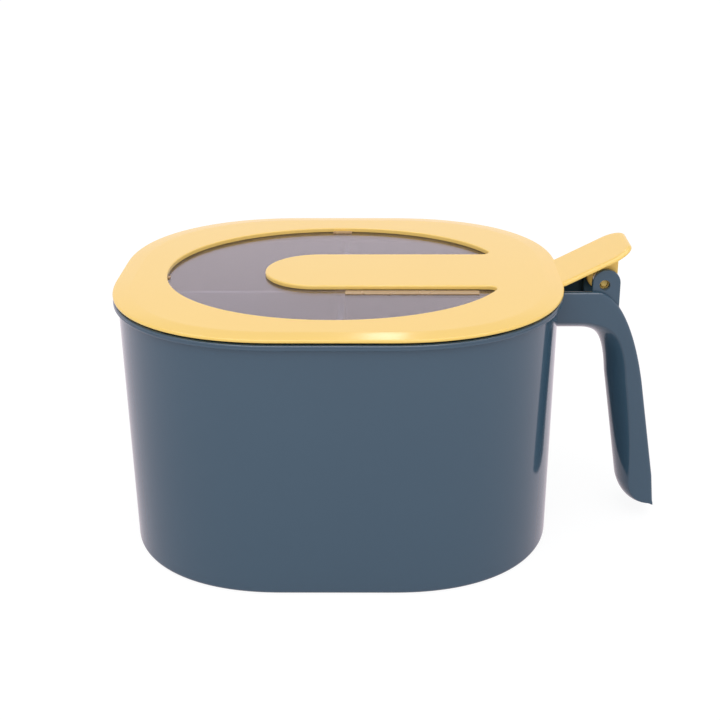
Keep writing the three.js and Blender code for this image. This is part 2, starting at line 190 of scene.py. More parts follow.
def growRings(mesh, levels):
    ring = firstRing(mesh, levels[0])
    rings = [ring]
    for points in levels[1:]:
        ring = nextRing(mesh, ring, points)
        rings.append(ring)
    return rings


def capRing(mesh, ring):
    bmesh.ops.contextual_create(mesh, geom=list(ring) + edgesOf(mesh, ring))


def fillBetween(mesh, rings, normal):
    edges = [edge for ring in rings for edge in edgesOf(mesh, ring)]
    bmesh.ops.triangle_fill(mesh, use_beauty=True, use_dissolve=False, edges=edges, normal=normal)


def atHeight(outline, z):
    return [Vector((x, y, z)) for x, y in outline]


def quarter(steps):
    return [i / steps * math.pi / 2 for i in range(steps + 1)]


# A rounded edge as (inset, distance from the face) pairs: the low one turns from face to side
def lowEdge(radius, steps):
    return [(radius * (1 - math.sin(a)), radius * (1 - math.cos(a))) for a in quarter(steps)]


# The high one turns from side to face
def highEdge(radius, steps):
    return [(inset, reach) for reach, inset in lowEdge(radius, steps)]


# Outwards for a counter-clockwise outline, by one distance or by one for each point
def offsetOutline(outline, distance, leastReach=0.35):
    moved = []
    count = len(outline)
    distances = distance if isinstance(distance, list) else [distance] * count
    for i, (x, y) in enumerate(outline):
        before, after = outline[i - 1], outline[(i + 1) % count]
        first = Vector((x - before[0], y - before[1])).normalized()
        second = Vector((after[0] - x, after[1] - y)).normalized()
        normal = Vector((first.y + second.y, -first.x - second.x)).normalized()
        reach = max(normal.dot(Vector((first.y, -first.x))), leastReach)
        moved.append((x + normal.x * distances[i] / reach, y + normal.y * distances[i] / reach))
    return moved


# Exact union of two closed shells
def joinShells(base, tool):
    shells = []
    for mesh in (base, tool):
        bmesh.ops.recalc_face_normals(mesh, faces=mesh.faces[:])
        data = bpy.data.meshes.new("shell")
        mesh.to_mesh(data)
        mesh.free()
        shells.append(bpy.data.objects.new("shell", data))
        scene.collection.objects.link(shells[-1])
    join = shells[0].modifiers.new("join", "BOOLEAN")
    join.object = shells[1]
    join.operation = "UNION"
    join.solver = "EXACT"
    bpy.context.view_layer.update()
    done = bmesh.new()
    done.from_object(shells[0], bpy.context.evaluated_depsgraph_get())
    for shell in shells:
        bpy.data.meshes.remove(shell.data)
    return done


# Distances in millimetres, the angle in degrees; a sharper edge than this angle keeps its crease
meshFinish = {"mergeDistance": 0.004, "shortestEdge": 0.002, "sharpAngle": 38, "shadeWeight": 60}


def finishPiece(mesh, name, nodes, body, material):
    bmesh.ops.remove_doubles(mesh, verts=mesh.verts[:], dist=meshFinish["mergeDistance"])
    bmesh.ops.dissolve_degenerate(mesh, edges=mesh.edges[:], dist=meshFinish["shortestEdge"])
    bmesh.ops.recalc_face_normals(mesh, faces=mesh.faces[:])
    limit = math.radians(meshFinish["sharpAngle"])
    for edge in mesh.edges:
        edge.smooth = edge.calc_face_angle(0) < limit
    for face in mesh.faces:
        face.smooth = True
    bmesh.ops.scale(mesh, vec=(mm, mm, mm), verts=mesh.verts[:])
    openEdges = sum(1 for edge in mesh.edges if len(edge.link_faces) != 2)
    data = bpy.data.meshes.new(name)
    mesh.to_mesh(data)
    mesh.free()
    piece = bpy.data.objects.new(name, data)
    scene.collection.objects.link(piece)
    piece.data.materials.append(material)
    shade = piece.modifiers.new("even shading", "WEIGHTED_NORMAL")
    shade.keep_sharp = True
    shade.weight = meshFinish["shadeWeight"]
    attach(piece, body)
    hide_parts(*nodes)
    print(name, len(data.polygons), "faces,", openEdges, "open edges")
    return piece


# Millimetres here and in the other pieces' sizes
boxSizes = {
    "length": 166.4, "depth": 150.4, "height": 99.55,
    "cornerRadius": 64.3, "cornerExponent": 2.2, "cornerSteps": 44,
    "lengthDraft": 1.4, "depthDraft": 3.4, "cornerDraft": 2.5,
    "wall": 2.2, "wallShares": (0.25, 0.5, 0.75), "foot": 1.6, "footFlat": 6, "footSteps": 7,
    "floor": 2.4, "floorFillet": 3, "floorSteps": 6, "floorLead": 1,
    "rimOverhang": 1.79, "rimThickness": 2.1, "rimRoot": 0.12, "rimFillet": 0.75, "rimSteps": 5,
    "rimGroove": 0.16, "mouthFillet": 0.5, "mouthSteps": 4,
    "holdingGap": 0.35,     # narrow ring beside a fillet, to keep the flat next to it flat
}


# Straight sides with corners between an arc and a straight line
def roundedOutline(length, depth, radius):
    points = []
    power = 2 / boxSizes["cornerExponent"]
    for corner in range(4):
        centreX = (1 if corner in (0, 3) else -1) * (length / 2 - radius)
        centreY = (1 if corner < 2 else -1) * (depth / 2 - radius)
        for step in range(boxSizes["cornerSteps"] + 1):
            angle = (corner + step / boxSizes["cornerSteps"]) * math.pi / 2
            c, s = math.cos(angle), math.sin(angle)
            points.append((centreX + radius * math.copysign(abs(c) ** power, c),
                           centreY + radius * math.copysign(abs(s) ** power, s)))
    return points


def bodyOutline(z, inset):
    share = (boxSizes["height"] - z) / boxSizes["height"]
    return roundedOutline(boxSizes["length"] - 2 * (boxSizes["lengthDraft"] * share + inset),
                          boxSizes["depth"] - 2 * (boxSizes["depthDraft"] * share + inset),
                          boxSizes["cornerRadius"] - boxSizes["cornerDraft"] * share - inset)


def edgeOutline(inset):
    grown = inset - boxSizes["rimOverhang"]
    return roundedOutline(boxSizes["length"] - 2 * grown, boxSizes["depth"] - 2 * grown,
                          boxSizes["cornerRadius"] - grown)


def makeShell():
    s = boxSizes
    top, rimBottom, wall = s["height"], s["height"] - s["rimThickness"], s["wall"]
    foot, fillet, mouth, gap = s["foot"], s["rimFillet"], s["mouthFillet"], s["holdingGap"]

    def wallRing(z, inset):
        return atHeight(bodyOutline(z, inset), z)

    levels = [wallRing(0, foot + s["footFlat"]), wallRing(0, foot + gap)]
    levels += [wallRing(rise, inset) for inset, rise in lowEdge(foot, s["footSteps"])]
    levels.append(wallRing(foot + gap, 0))
    levels += [wallRing(rimBottom * share, 0) for share in s["wallShares"]]
    levels += [wallRing(rimBottom - gap, 0), wallRing(rimBottom, -s["rimRoot"])]
    levels += [atHeight(edgeOutline(inset), rimBottom + rise)
               for inset, rise in lowEdge(fillet, s["rimSteps"])]
    levels.append(atHeight(edgeOutline(s["rimGroove"]), (rimBottom + top) / 2))
    levels += [atHeight(edgeOutline(inset), top - fall) for inset, fall in highEdge(fillet, s["rimSteps"])]
    levels += [atHeight(edgeOutline(fillet + gap), top), wallRing(top, wall - mouth - gap)]
    levels += [wallRing(top - fall, wall - inset) for inset, fall in lowEdge(mouth, s["mouthSteps"])]
    inner, curve = s["floor"], s["floorFillet"]
    levels.append(wallRing(inner + curve + s["floorLead"], wall))
    levels += [wallRing(inner + rise, wall + inset) for inset, rise in highEdge(curve, s["floorSteps"])]
    mesh = bmesh.new()
    rings = growRings(mesh, levels)
    capRing(mesh, rings[0])
    capRing(mesh, rings[-1])
    return mesh


handleSizes = {
    "halfWidth": 15, "gripHalfWidth": 12.5, "wall": 2.7, "web": 2.4,
    "edge": 1.15, "edgeShare": 0.45, "channelEdgeShare": 0.6, "edgeSteps": 4, "sideShares": (0.1, 0.5, 1),
    "armBulge": 5.4, "gripBulge": 7.2, "endBulge": 3.8, "tipBulge": 2.6, "crownPower": 1.5, "crownSteps": 18,
    "leastSquare": 0.55, "leastSide": 0.5, "leastChannel": 0.35, "leastChannelSide": 0.25,
    "leastChannelCrown": 0.1, "channelSteps": 36,
    "armRings": 4, "bendRings": 26, "gripRings": 14, "tipRings": 18, "tipEase": 0.8,
    "startX": 82.2, "armTop": 97.6, "armUnderside": 80.25,
    "shoulder": ((97.8, 97.6), (105.6, 97.6), (113.55, 84.2), (118.15, 59.8)),
    "tip": (126.15, 6.4), "rimTurn": (125.0, 18.6),
    "bend": ((92.5, 80.25), (101.1, 80.25), (103.9, 74), (105.1, 59.8)),
    "gripEnd": (112.15, 14.5),
    "scoop": ((112.15, 14.5), (113.4, 8.8), (116.3, 4.1), (126.0, 4.1)),
    "lugHalfWidth": 5.35, "lugCrownX": 101.75, "lugCrown": 100.6, "lugRoot": 87.0, "lugInner": 10.4,
    "lugOuter": 13.0, "lugEdge": 0.45, "lugRootSteps": 8, "lugSideSteps": 6, "lugCrownSteps": 32,
    "pinX": 101.1, "pinZ": 99.9, "boreRadius": 1.9,
}


def bezierPoint(corners, t):
    a, b, c, d = (Vector(corner) for corner in corners)
    u = 1 - t
    return a * u ** 3 + b * 3 * u * u * t + c * 3 * u * t * t + d * t ** 3


# Each station is (rim point, crest point, bulge of the web, half width)
def handleStations():
    h = handleSizes
    stations = []
    for i in range(h["armRings"]):
        t = i / h["armRings"]
        stations.append((Vector((h["startX"], h["armTop"])).lerp(Vector(h["shoulder"][0]), t),
                         Vector((h["startX"], h["armUnderside"])).lerp(Vector(h["bend"][0]), t),
                         h["armBulge"], h["halfWidth"]))
    for i in range(h["bendRings"]):
        t = i / h["bendRings"]
        ease = t * t * (3 - 2 * t)
        stations.append((bezierPoint(h["shoulder"], t), bezierPoint(h["bend"], t),
                         h["armBulge"] + (h["gripBulge"] - h["armBulge"]) * ease,
                         h["halfWidth"] + (h["gripHalfWidth"] - h["halfWidth"]) * ease))
    for i in range(h["gripRings"]):
        t = i / h["gripRings"]
        stations.append((Vector(h["shoulder"][3]).lerp(Vector(h["rimTurn"]), t),
                         Vector(h["bend"][3]).lerp(Vector(h["gripEnd"]), t),
                         h["gripBulge"] + (h["endBulge"] - h["gripBulge"]) * t * t, h["gripHalfWidth"]))
    for i in range(h["tipRings"] + 1):
        t = i / h["tipRings"]
        fall = math.sin(t * math.pi / 2) ** h["tipEase"]
        stations.append((Vector(h["rimTurn"]).lerp(Vector(h["tip"]), fall), bezierPoint(h["scoop"], t),
                         h["endBulge"] + (h["tipBulge"] - h["endBulge"]) * t, h["gripHalfWidth"]))
    return stations


# U section: walls down from the rim line, a rounded web at the crest line, and an open channel between
def handleSection(rim, crest, along, bulge, outer):
    h = handleSizes
    down = crest - rim
    depth = down.length
    square = max(abs(Vector((-along.y, along.x)).normalized().dot(down.normalized())), h["leastSquare"])
    side = max(depth - bulge / square, h["leastSide"])
    inCrest = max(depth - h["web"] / square, h["leastChannel"])
    inSide = max(min(inCrest - bulge / square, inCrest - h["leastChannelCrown"]), h["leastChannelSide"])
    edge = min(h["edge"], side * h["edgeShare"], h["wall"] * h["edgeShare"])
    inEdge = min(h["edge"], inSide * h["channelEdgeShare"])
    inner = outer - h["wall"]
    half = [(outer - edge, 0)] + [(outer - edge + edge * math.sin(a), edge - edge * math.cos(a))
                                  for a in quarter(h["edgeSteps"])[1:]]
    half += [(outer, edge + (side - edge) * share) for share in h["sideShares"]]
    steps, inSteps = h["crownSteps"], h["channelSteps"]
    arc = [(outer * math.cos(a), side + (depth - side) * math.sin(a) ** h["crownPower"])
           for a in (i / steps * math.pi / 2 for i in range(1, steps))]
    section = half + arc + [(0, depth)] + [(-y, d) for y, d in reversed(half + arc)]
    half = [(inner + inEdge, 0)] + [(inner + inEdge - inEdge * math.sin(a), inEdge - inEdge * math.cos(a))
                                    for a in quarter(h["edgeSteps"])[1:]]
    half += [(inner, inEdge + (inSide - inEdge) * share) for share in h["sideShares"]]
    arc = [(inner * math.cos(a), inSide + (inCrest - inSide) * math.sin(a))
           for a in (i / inSteps * math.pi for i in range(1, inSteps))]
    section += [(-y, d) for y, d in half] + [(-y, d) for y, d in arc] + [(y, d) for y, d in reversed(half)]
    way = down.normalized()
    return [Vector((rim.x + way.x * d, y, rim.y + way.y * d)) for y, d in section]


def makeHandle():
    stations = handleStations()
    levels = []
    for i, (rim, crest, bulge, halfWidth) in enumerate(stations):
        before = stations[max(i - 1, 0)][1]
        after = stations[min(i + 1, len(stations) - 1)][1]
        levels.append(handleSection(rim, crest, after - before, bulge, halfWidth))
    mesh = bmesh.new()
    rings = growRings(mesh, levels)
    fillBetween(mesh, [rings[0]], (1, 0, 0))
    fillBetween(mesh, [rings[-1]], (1, 0, 0))
    return mesh


boredFinish = {"boreShare": 0.4, "faceGap": 0.2, "edgeSteps": 4}


# A flat plate standing along XZ with a bore, its outline rounded over on both faces
def boredPlate(outline, centre, boreRadius, lowY, highY, edge):
    steps, gap = boredFinish["edgeSteps"], edge + boredFinish["faceGap"]
    mouth = boreRadius + edge * boredFinish["boreShare"]
    directions = [(Vector(point) - Vector(centre)).normalized() for point in outline]

    def bore(radius, y):
        return [Vector((centre[0] + way.x * radius, y, centre[1] + way.y * radius)) for way in directions]

    def rim(inset, y):
        return [Vector((x, y, z)) for x, z in offsetOutline(outline, -inset)]

    levels = [bore(boreRadius, lowY + edge), bore(mouth, lowY), rim(gap, lowY)]
    levels += [rim(inset, lowY + rise) for inset, rise in lowEdge(edge, steps)]
    levels += [rim(inset, highY - fall) for inset, fall in highEdge(edge, steps)]
    levels += [rim(gap, highY), bore(mouth, highY), bore(boreRadius, highY - edge)]
    mesh = bmesh.new()
    rings = growRings(mesh, levels)
    bmesh.ops.bridge_loops(mesh, edges=edgesOf(mesh, rings[0]) + edgesOf(mesh, rings[-1]))
    return mesh


def lugOutline():
    h = handleSizes
    half, x = h["lugHalfWidth"], h["lugCrownX"]
    root, around = h["lugRootSteps"], h["lugCrownSteps"]
    sides = [h["lugRoot"] + (h["lugCrown"] - h["lugRoot"]) * i / h["lugSideSteps"]
             for i in range(h["lugSideSteps"])]
    points = [(x + half * (2 * i / root - 1), h["lugRoot"]) for i in range(1, root)]
    points += [(x + half, z) for z in sides]
    points += [(x + half * math.cos(a), h["lugCrown"] + half * math.sin(a))
               for a in (i / around * math.pi for i in range(around + 1))]
    points += [(x - half, z) for z in reversed(sides)]
    return points


def makeLug(side):
    h = handleSizes
    low, high = sorted((side * h["lugInner"], side * h["lugOuter"]))
    return boredPlate(lugOutline(), (h["pinX"], h["pinZ"]), h["boreRadius"], low, high, h["lugEdge"])


box = joinShells(makeHandle(), makeLug(1))
box = joinShells(box, makeLug(-1))
box = joinShells(makeShell(), box)
finishPiece(box, "box_with_handle", ["outer_box"], "body", slatePlastic)


linerSizes = {
    "bottom": 2.7, "top": 91.8, "clearance": 0.4, "wall": 1.6, "floor": 1.6,
    "divider": 2.2, "dividerX": 0.8, "cellCorner": 4, "cellSteps": 7,
    "topFillet": 0.3, "topFlare": 0.8, "topSteps": 4, "mouthSteps": 5,
    "floorFillet": 3.5, "footSteps": 5, "floorSteps": 6,
}


# One cell between two dividers and the liner's wall, with its three corners rounded
def cellOutline(signX, signY):
    s = linerSizes
    inset = boxSizes["wall"] + s["clearance"] + s["wall"]
    lowX = s["divider"] / 2 + signX * s["dividerX"]
    lowY = s["divider"] / 2
    curve = [(x, y) for x, y in bodyOutline((s["top"] + s["bottom"]) / 2, inset) if x > 0 and y > 0]
    curve = curve[::2] if len(curve) % 2 else curve[::2] + [curve[-1]]      # every second point, both ends
    mesh = bmesh.new()
    corners = [(lowX, lowY), (curve[0][0], lowY)] + curve + [(lowX, curve[-1][1])]
    verts = [mesh.verts.new((x, y, 0)) for x, y in corners]
    face = mesh.faces.new(verts)
    bmesh.ops.bevel(mesh, geom=[verts[0], verts[1], verts[-1]], offset=s["cellCorner"], affect="VERTICES",
                    segments=s["cellSteps"], profile=0.5, material=-1, clamp_overlap=True)
    mesh.faces.ensure_lookup_table()
    outline = [(vert.co.x * signX, vert.co.y * signY) for vert in mesh.faces[0].verts]
    mesh.free()
    return outline if signX * signY > 0 else outline[::-1]


def makeLiner():
    s = linerSizes
    inset, top, bottom = boxSizes["wall"] + s["clearance"], s["top"], s["bottom"]
    mesh = bmesh.new()
    levels = [atHeight(bodyOutline(bottom, inset + drawn), bottom + rise)
              for drawn, rise in lowEdge(s["floorFillet"], s["footSteps"])]
    levels += [atHeight(bodyOutline(top - fall, inset + drawn * s["topFlare"]), top - fall)
               for drawn, fall in highEdge(s["topFillet"], s["topSteps"])]
    outer = growRings(mesh, levels)
    capRing(mesh, outer[0])
    mouths = []
    cellFloor = bottom + s["floor"]
    for signX, signY in ((1, 1), (-1, 1), (-1, -1), (1, -1)):
        outline = cellOutline(signX, signY)
        levels = [atHeight(offsetOutline(outline, grown), top - fall)
                  for grown, fall in lowEdge(s["topFillet"], s["mouthSteps"])]
        levels += [atHeight(offsetOutline(outline, -drawn), cellFloor + rise)
                   for drawn, rise in highEdge(s["floorFillet"], s["floorSteps"])]
        rings = growRings(mesh, levels)
        capRing(mesh, rings[-1])
        mouths.append(rings[0])
    fillBetween(mesh, [outer[-1]] + mouths, (0, 0, 1))
    return mesh


finishPiece(makeLiner(), "liner_with_four_cells", ["four_cell_liner"], "body", slatePlastic)


lidSizes = {
    "bottom": 100.4, "top": 102.2, "crownWidth": 6.6, "crownDrop": 0.58, "crownStart": 0.063,
    "crownShares": (0, 0.08, 0.25, 0.5, 0.75), "lidEdge": 0.6, "edgeSteps": 7, "underFillet": 0.5,
    "underSteps": 3, "holdingGap": 0.4, "seatInset": 1.5, "seatDepth": 0.45, "seatDraft": 0.1,
    "windowX": -1, "windowLength": 131.4, "windowDepth": 116, "windowExponent": 2.05, "windowSteps": 220,
    "holeFillet": 0.5, "holeSteps": 6, "tongueFillet": 0.7, "holeUnderFillet": 0.1, "edgeThickness": 1.65,
    "rebateMargin": 4.2, "ribWidth": 1.2, "ribDepth": 1.5,
    "tongueHalf": 20.35, "tongueTip": -29.2, "tongueThickness": 1.55, "tongueDroop": 0.1, "droopStart": 60,
    "droopMargin": 0.01,
    "tongueSideSteps": 24, "tongueTipSteps": 60, "rootFillet": 3, "rootSteps": 8,
    "skirtClearance": 0.6, "skirtWall": 1.5, "skirtDepth": 3.4, "skirtFillet": 0.5, "skirtChamfer": 0.4,
}


def windowOutline(margin):
    s = lidSizes
    power = 2 / s["windowExponent"]
    points = []
    for step in range(s["windowSteps"]):
        angle = step / s["windowSteps"] * 2 * math.pi
        c, si = math.cos(angle), math.sin(angle)
        points.append((s["windowX"] + (s["windowLength"] / 2 + margin) * math.copysign(abs(c) ** power, c),
                       (s["windowDepth"] / 2 + margin) * math.copysign(abs(si) ** power, si)))
    return points


# Fillet between two straight reaches that meet at a corner
def roundCorner(before, corner, after, radius, steps):
    inward = (Vector(before) - Vector(corner)).normalized()
    outward = (Vector(after) - Vector(corner)).normalized()
    half = inward.angle(outward) / 2
    reach = radius / math.tan(half)
    centre = Vector(corner) + (inward + outward).normalized() * radius / math.sin(half)
    start = Vector(corner) + inward * reach - centre
    end = Vector(corner) + outward * reach - centre
    turn = start.angle_signed(end)
    points = []
    for step in range(steps + 1):
        spin = Matrix.Rotation(-turn * step / steps, 2)
        points.append(tuple(centre + spin @ start))
    return points, reach


# The opening round the tongue, counter-clockwise, with each point's share of the tongue's own edge
def holeOutline():
    s = lidSizes
    half = s["tongueHalf"]
    oval = windowOutline(0)
    start = next(i for i, (x, y) in enumerate(oval) if y > half)
    arc = [p for p in oval[start:] if not (p[0] > 0 and abs(p[1]) <= half)]
    corner = Vector(arc[0]).lerp(Vector(oval[start - 1]),
                                 (arc[0][1] - half) / (arc[0][1] - oval[start - 1][1]))
    bend, reach = roundCorner((s["tongueTip"], half), tuple(corner), arc[2], s["rootFillet"], s["rootSteps"])
    arc = [p for p in arc if (Vector(p) - corner).length > reach
           and (Vector(p) - Vector((corner.x, -half))).length > reach]
    below = [(x, -y) for x, y in reversed(bend)]
    tipX = s["tongueTip"] + half
    sideSteps, tipSteps = s["tongueSideSteps"], s["tongueTipSteps"]
    edgeX = [bend[0][0] + (tipX - bend[0][0]) * i / sideSteps for i in range(1, sideSteps)]
    tongue = [(x, -half) for x in edgeX]
    tongue += [(tipX + half * math.cos(a), half * math.sin(a))
               for a in (-math.pi / 2 - i / tipSteps * math.pi for i in range(tipSteps + 1))]
    tongue += [(x, half) for x in reversed(edgeX)]
    points = bend + arc + below + tongue
    shares = [0.5] * len(bend) + [0] * len(arc) + [0.5] * len(below) + [1] * len(tongue)
    return points, shares


def makeLidPlate():
    s = lidSizes
    top, bottom, gap = s["top"], s["bottom"], s["holdingGap"]
    width, drop, edge = s["crownWidth"], s["crownDrop"], s["lidEdge"]
    mesh = bmesh.new()
    levels = [atHeight(edgeOutline(width + gap), top)]
    for share in s["crownShares"]:
        run = (width - edge) * share
        fall = s["crownStart"] * run + (drop - s["crownStart"] * (width - edge)) * share ** 2
        levels.append(atHeight(edgeOutline(width - run), top - fall))
    levels += [atHeight(edgeOutline(inset), top - drop - fall)
               for inset, fall in lowEdge(edge, s["edgeSteps"])]
    levels += [atHeight(edgeOutline(inset), bottom + rise)
               for inset, rise in highEdge(s["underFillet"], s["underSteps"])]
    seat = bottom - s["seatDepth"]
    levels += [atHeight(edgeOutline(s["seatInset"]), bottom),
               atHeight(edgeOutline(s["seatInset"] + s["seatDraft"]), seat)]

    # skirt that drops into the box's mouth
    skirtIn = boxSizes["wall"] + s["skirtClearance"]
    skirtLow, fillet, chamfer = bottom - s["skirtDepth"], s["skirtFillet"], s["skirtChamfer"]
    rings = [(skirtIn - gap, seat), (skirtIn, seat), (skirtIn, skirtLow + fillet)]
    rings += [(skirtIn + inset, skirtLow + rise) for inset, rise in highEdge(fillet, s["underSteps"])]
    rings += [(skirtIn + s["skirtWall"] - chamfer, skirtLow), (skirtIn + s["skirtWall"], skirtLow + chamfer),
              (skirtIn + s["skirtWall"], bottom)]
    levels += [atHeight(bodyOutline(boxSizes["height"], inset), z) for inset, z in rings]
    outer = growRings(mesh, levels)

    # rib that holds the clear plate, and the seat above it
    ceiling = top - s["edgeThickness"]
    margin, low = s["rebateMargin"], bottom - s["ribDepth"]
    rings = [(margin + s["ribWidth"], bottom), (margin + s["ribWidth"], low), (margin, low),
             (margin, ceiling), (margin - gap, ceiling)]
    rebate = growRings(mesh, [atHeight(windowOutline(reach), z) for reach, z in rings])

    # opening with its rounded edge, which changes along the tongue
    outline, shares = holeOutline()
    soft = [s["holeFillet"] + (s["tongueFillet"] - s["holeFillet"]) * share for share in shares]
    floors = [ceiling + (top - s["tongueThickness"] - ceiling) * share for share in shares]
    lower = s["holeUnderFillet"]
    levels = [atHeight(offsetOutline(outline, [radius + gap for radius in soft]), top)]
    for angle in quarter(s["holeSteps"]):
        plan = offsetOutline(outline, [radius * (1 - math.sin(angle)) for radius in soft])
        levels.append([Vector((x, y, top - radius * (1 - math.cos(angle))))
                       for (x, y), radius in zip(plan, soft)])
    levels.append([Vector((x, y, z + lower)) for (x, y), z in zip(outline, floors)])
    levels += [[Vector((x, y, z)) for (x, y), z in zip(offsetOutline(outline, grown), floors)]
               for grown in (lower, lower + gap)]
    hole = growRings(mesh, levels)
    fillBetween(mesh, [outer[0], hole[0]], (0, 0, 1))
    fillBetween(mesh, [outer[-1], rebate[0]], (0, 0, 1))
    fillBetween(mesh, [rebate[-1], hole[-1]], (0, 0, 1))

    # the tongue's free end hangs down a little
    start, tip = s["droopStart"], s["tongueTip"]
    for vert in mesh.verts:
        if abs(vert.co.y) < s["tongueHalf"] + s["droopMargin"] and tip - s["droopMargin"] < vert.co.x < start:
            vert.co.z -= s["tongueDroop"] * ((start - vert.co.x) / (start - tip)) ** 2
    return mesh


leverSizes = {
    "half": 15.9, "length": 31.2, "thickness": 1.5, "tilt": 27.0,       # tilt in degrees
    "corner": 8.6, "cornerSteps": 14, "endShares": (0.66, 0.33),
    "bendX": 82.55, "level": 101.35, "bend": 7, "insideReach": 2, "ringRun": 0.4, "bendRings": 19,
    "straightStart": 6, "straightRings": 5,
    "crown": 2.2, "crownDrop": 1.0, "crownSteps": 9, "crownGap": 0.35,
    "underFillet": 0.3, "underSteps": 3, "underGap": 0.3, "rootLift": 0.02,
    "cheekInner": 7.6, "cheekOuter": 10.0, "cheekRadius": 4.5, "cheekShift": 0.65, "cheekFoot": 96.5,
    "cheekEdge": 0.4, "cheekBore": 1.55, "cheekRootX": 84.5, "cheekRootZ": 101.5,
    "cheekFootSteps": 30, "cheekBackSteps": 8, "cheekTopSteps": 5, "cheekFrontSteps": 4,
}


# Lever seen from above as (reach along the slope, half width), drawn in by a margin
def leverOutline(inset):
    s = leverSizes
    half, end = s["half"] - inset, s["length"] - inset
    radius = s["corner"] - inset
    straight, start, rings = end - radius, s["straightStart"], s["straightRings"]
    runs = [i * s["ringRun"] - s["insideReach"] for i in range(s["bendRings"])]
    runs += [start + (straight - start) * i / rings for i in range(rings)]
    side = [(x, -half) for x in runs]
    side += [(straight + radius * math.sin(a), -half + radius * (1 - math.cos(a)))
             for a in quarter(s["cornerSteps"])]
    side += [(end, (-half + radius) * share) for share in s["endShares"]]
    return side + [(x, -y) for x, y in reversed(side)]


# The lever's underlying line: level inside the lid, then bent up to its tilt
def leverPoint(run, lift):
    s = leverSizes
    tilt = math.radians(s["tilt"])
    bend = s["bend"]
    length = bend * tilt
    if run <= 0:
        x, z, angle = run, 0, 0
    elif run < length:
        angle = run / bend
        x, z = bend * math.sin(angle), bend * (1 - math.cos(angle))
    else:
        angle = tilt
        x = bend * math.sin(tilt) + (run - length) * math.cos(tilt)
        z = bend * (1 - math.cos(tilt)) + (run - length) * math.sin(tilt)
    return s["bendX"] + x - lift * math.sin(angle), s["level"] + z + lift * math.cos(angle)


def makeLever():
    s = leverSizes
    thick, over, drop, under = s["thickness"], s["crown"], s["crownDrop"], s["underFillet"]
    steps = [(under + s["underGap"], -thick)]
    steps += [(inset, rise - thick) for inset, rise in lowEdge(under, s["underSteps"])]
    steps += [(over * (1 - math.cos(a)), -drop * (1 - math.sin(a))) for a in quarter(s["crownSteps"])]
    steps += [(over + s["crownGap"], 0)]
    levels = []
    for inset, lift in steps:
        ring = []
        for run, y in leverOutline(inset):
            x, z = leverPoint(run, lift)
            ring.append(Vector((x, y, max(z, lidSizes["bottom"] + s["rootLift"]))))
        levels.append(ring)
    mesh = bmesh.new()
    rings = growRings(mesh, levels)
    for ring in (rings[0], rings[-1]):
        capRing(mesh, ring)
        count = len(ring)
        # cross edges carry the cap round the bend, up to the straight end
        for i in range(1, count // 2 - len(s["endShares"]) - 1):
            bmesh.ops.connect_verts(mesh, verts=[ring[i], ring[count - 1 - i]])
    return mesh


def makeCheek(side):
    s, h = leverSizes, handleSizes
    x, radius = h["pinX"] + s["cheekShift"], s["cheekRadius"]
    tilt = math.tan(math.radians(s["tilt"]))
    middle = s["thickness"] / 2 / math.cos(math.radians(s["tilt"]))

    def leverLine(at):
        return s["cheekRootZ"] + (at - s["cheekRootX"]) * tilt - middle

    left, right, foot = x - radius, x + radius, s["cheekFoot"]
    around, back, over, front = (s["cheekFootSteps"], s["cheekBackSteps"], s["cheekTopSteps"],
                                 s["cheekFrontSteps"])
    points = [(x + radius * math.cos(a), foot + radius * math.sin(a))
              for a in (-math.pi + i / around * math.pi for i in range(around + 1))]
    points += [(right, foot + (leverLine(right) - foot) * i / back) for i in range(1, back + 1)]
    points += [(right + (left - right) * i / over,
                leverLine(right) + (leverLine(left) - leverLine(right)) * i / over)
               for i in range(1, over + 1)]
    points += [(left, leverLine(left) + (foot - leverLine(left)) * i / front) for i in range(1, front)]
    low, high = sorted((side * s["cheekInner"], side * s["cheekOuter"]))
    return boredPlate(points, (h["pinX"], h["pinZ"]), s["cheekBore"], low, high, s["cheekEdge"])


lid = joinShells(makeLidPlate(), makeLever())
lid = joinShells(lid, makeCheek(1))
lid = joinShells(lid, makeCheek(-1))
finishPiece(lid, "lid_with_lever", ["lid_frame"], "lid", yellowPlastic)


plateSizes = {
    "margin": 3.8, "top": 100.5, "thickness": 1.6, "edge": 0.25, "edgeSteps": 3, "faceGap": 0.3,
    "railY": -23.9, "railWidth": 4.0, "railStart": 2.6, "railEnd": 52.6, "railTop": 100.85,
    "sideTabWidth": 8, "sideTabDepth": 2.2, "sideTabHeight": 0.55,
    "frontTabY": -6, "frontTabWidth": 2.6, "frontTabDepth": 1.0, "frontTabHeight": 0.5,
    "tabInset": 0.3, "bevel": 0.12, "paintedReflectionAbove": 0.05,
}


def makeBar(lowX, highX, lowY, highY, lowZ, highZ, bevel):
    mesh = bmesh.new()
    bmesh.ops.create_cube(mesh, size=1)
    bmesh.ops.scale(mesh, vec=(highX - lowX, highY - lowY, highZ - lowZ), verts=mesh.verts[:])
    bmesh.ops.translate(mesh, vec=((lowX + highX) / 2, (lowY + highY) / 2, (lowZ + highZ) / 2),
                        verts=mesh.verts[:])
    bmesh.ops.bevel(mesh, geom=mesh.edges[:], offset=bevel, affect="EDGES", segments=2, profile=0.5,
                    material=-1, clamp_overlap=True)
    return mesh


